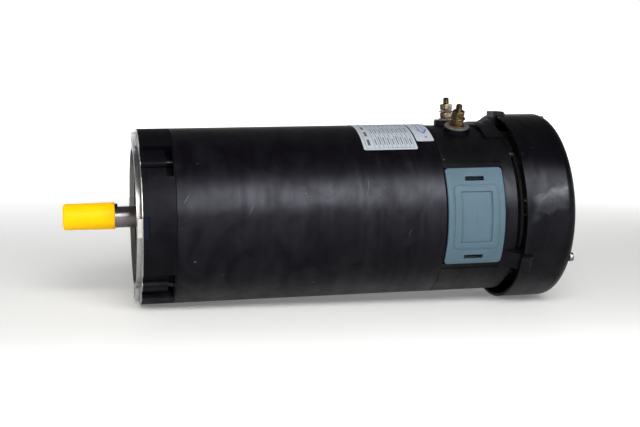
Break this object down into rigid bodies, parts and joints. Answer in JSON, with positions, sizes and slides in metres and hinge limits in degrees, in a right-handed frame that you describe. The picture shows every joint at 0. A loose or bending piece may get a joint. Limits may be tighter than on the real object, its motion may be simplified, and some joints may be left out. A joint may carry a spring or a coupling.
{
  "type": "permanent-magnet brush motor",
  "caption": "Round face-mounted brush motor with a black steel body, keyed shaft in a yellow sleeve, side brush covers, top terminal studs and a rear fan shroud.",
  "frame": {"origin": "on the shaft axis, in the plane of the drive-end rim face", "axes": "+X along the shaft axis towards the fan shroud, so the output shaft points to -X; +Z towards the terminal studs; -Y towards the brush window on the near side"},
  "size_m": [0.4756, 0.1824, 0.1996],
  "materials": {
    "black_paint": "satin black enamel",
    "bell_paint": "satin black enamel, machined bright on the drive face",
    "shroud_paint": "satin black powder coat",
    "bright_steel": "ground and turned steel",
    "zinc_screw": "zinc-plated steel",
    "dark_steel": "blackened steel",
    "spring_steel": "spring steel",
    "lamination": "stacked electrical steel, varnished",
    "ferrite": "ground ferrite",
    "winding": "copper wire under varnish",
    "copper": "bare copper",
    "slot_liner": "pressed insulating board",
    "phenolic": "moulded phenolic",
    "brass_plate": "rolled brass",
    "terminal_metal": "yellow-passivated terminal hardware",
    "washer_metal": "coppery plated washers",
    "carbon": "electrographite",
    "nylon": "natural nylon",
    "terminal_disc": "grey moulded insulating disc",
    "cover_plastic": "blue-grey moulded plastic",
    "seal_rubber": "nitrile rubber",
    "fan_plastic": "glass-filled nylon",
    "sleeve_vinyl": "soft yellow vinyl",
    "label_film": "printed polyester film"
  },
  "bodies": {
    "housing": {"yoke_tube": "black_paint", "drive_end_bell": "bell_paint", "rear_end_bell": "bell_paint", "drive_bell_screws": "zinc_screw", "rear_bell_screws": "dark_steel", "magnet_north_front": "ferrite", "magnet_north_rear": "ferrite", "magnet_south_front": "ferrite", "magnet_south_rear": "ferrite", "shaft_seal": "seal_rubber", "front_bearing_outer": "bright_steel", "front_bearing_shields": "bright_steel", "front_bearing_circlip": "spring_steel", "rear_bearing_outer": "bright_steel", "rear_bearing_shields": "bright_steel", "rear_wave_spring": "spring_steel", "brush_ring": "phenolic", "brush_ring_screws": "zinc_screw", "near_brush_box": "brass_plate", "far_brush_box": "brass_plate", "near_brush_springs": "spring_steel", "far_brush_springs": "spring_steel", "near_brush_leads": "copper", "far_brush_leads": "copper", "near_busbar": "copper", "far_busbar": "copper", "terminal_studs": "terminal_metal", "stud_bushes": "nylon", "terminal_insulators": "terminal_disc", "terminal_washers": "washer_metal", "terminal_nuts": "terminal_metal", "fan_shroud": "shroud_paint", "shroud_screws": "zinc_screw", "rating_label": "label_film", "direction_label": "label_film"},
    "rotor": {"shaft": "bright_steel", "shaft_key": "dark_steel", "front_bearing_inner": "bright_steel", "rear_bearing_inner": "bright_steel", "armature_core": "lamination", "slot_conductors": "winding", "slot_wedges": "slot_liner", "front_end_winding": "winding", "rear_end_winding": "winding", "commutator_bars": "copper", "commutator_hub": "phenolic", "cooling_fan": "fan_plastic", "fan_circlip": "spring_steel"},
    "front_ball_set": {"front_bearing_balls": "bright_steel", "front_bearing_cage": "brass_plate"},
    "rear_ball_set": {"rear_bearing_balls": "bright_steel", "rear_bearing_cage": "brass_plate"},
    "shaft_sleeve": {"shaft_sleeve": "sleeve_vinyl"},
    "near_brush": {"near_brush": "carbon"},
    "far_brush": {"far_brush": "carbon"},
    "near_cover": {"near_brush_cover": "cover_plastic", "near_cover_gasket": "seal_rubber"},
    "far_cover": {"far_brush_cover": "cover_plastic", "far_cover_gasket": "seal_rubber"}
  },
  "joints": [
    {"name": "rotor_spin", "type": "hinge", "parent": "housing", "child": "rotor", "pos_m": [0, 0, 0], "axis": [1, 0, 0], "continuous": true},
    {"name": "front_ball_spin", "type": "hinge", "parent": "housing", "child": "front_ball_set", "pos_m": [0.0195, 0, 0], "axis": [1, 0, 0], "continuous": true},
    {"name": "rear_ball_spin", "type": "hinge", "parent": "housing", "child": "rear_ball_set", "pos_m": [0.339, 0, 0], "axis": [1, 0, 0], "continuous": true},
    {"name": "sleeve_pull", "type": "slide", "parent": "rotor", "child": "shaft_sleeve", "axis": [-1, 0, 0], "range_m": [0, 0.055]},
    {"name": "near_brush_slide", "type": "slide", "parent": "housing", "child": "near_brush", "axis": [0, -1, 0], "range_m": [0, 0.01], "stiffness_N_per_m": 200, "springref_m": -0.02, "deforming": ["near_brush_springs", "near_brush_leads"]},
    {"name": "far_brush_slide", "type": "slide", "parent": "housing", "child": "far_brush", "axis": [0, 1, 0], "range_m": [0, 0.01], "stiffness_N_per_m": 200, "springref_m": -0.02, "deforming": ["far_brush_springs", "far_brush_leads"]},
    {"name": "near_cover_pull", "type": "slide", "parent": "housing", "child": "near_cover", "axis": [0, -1, 0], "range_m": [0, 0.06]},
    {"name": "far_cover_pull", "type": "slide", "parent": "housing", "child": "far_cover", "axis": [0, 1, 0], "range_m": [0, 0.06]}
  ],
  "couplings": [
    {"joint": "front_ball_spin", "follows": "rotor_spin", "ratio": 0.36778},
    {"joint": "rear_ball_spin", "follows": "rotor_spin", "ratio": 0.38175}
  ]
}
